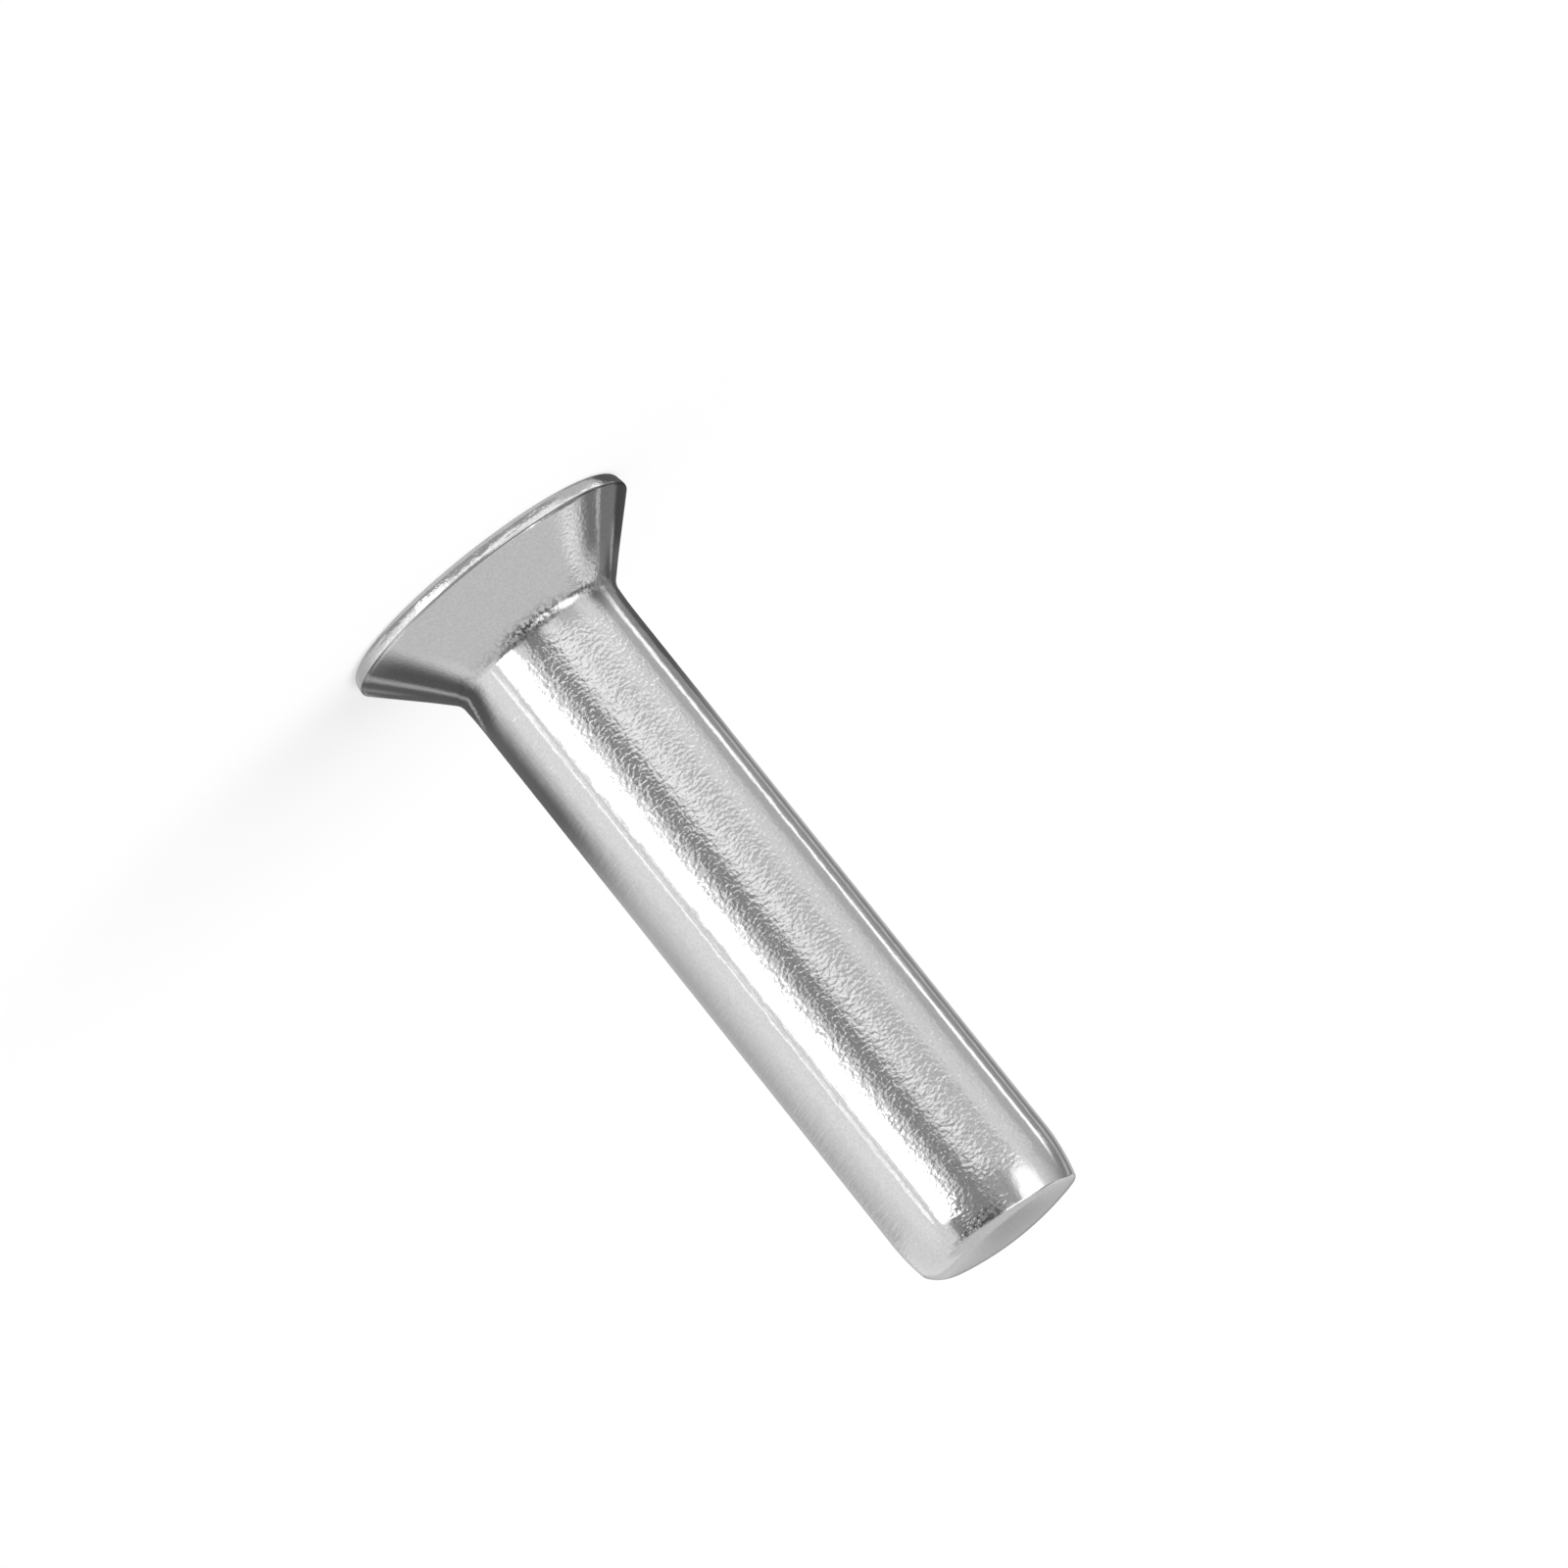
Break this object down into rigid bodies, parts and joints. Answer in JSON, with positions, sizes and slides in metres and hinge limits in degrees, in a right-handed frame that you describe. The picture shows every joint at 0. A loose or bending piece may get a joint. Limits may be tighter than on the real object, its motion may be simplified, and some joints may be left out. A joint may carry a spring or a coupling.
{
  "type": "countersunk solid rivet",
  "caption": "Solid rivet with a flat countersunk head and a plain round shank that ends in a rounded, sheared tip. Set through a countersunk hole to join plates flush.",
  "frame": {"origin": "centre of the head's flat face", "axes": "+Z along the shank, from the head to the sheared end; -X towards the side on which the cut left the sharper edge"},
  "size_m": [0.0088, 0.0086, 0.022],
  "materials": {
    "stainless_steel": "bright cold-headed stainless steel, tumbled"
  },
  "bodies": {
    "root": {"rivet": "stainless_steel"}
  },
  "joints": []
}
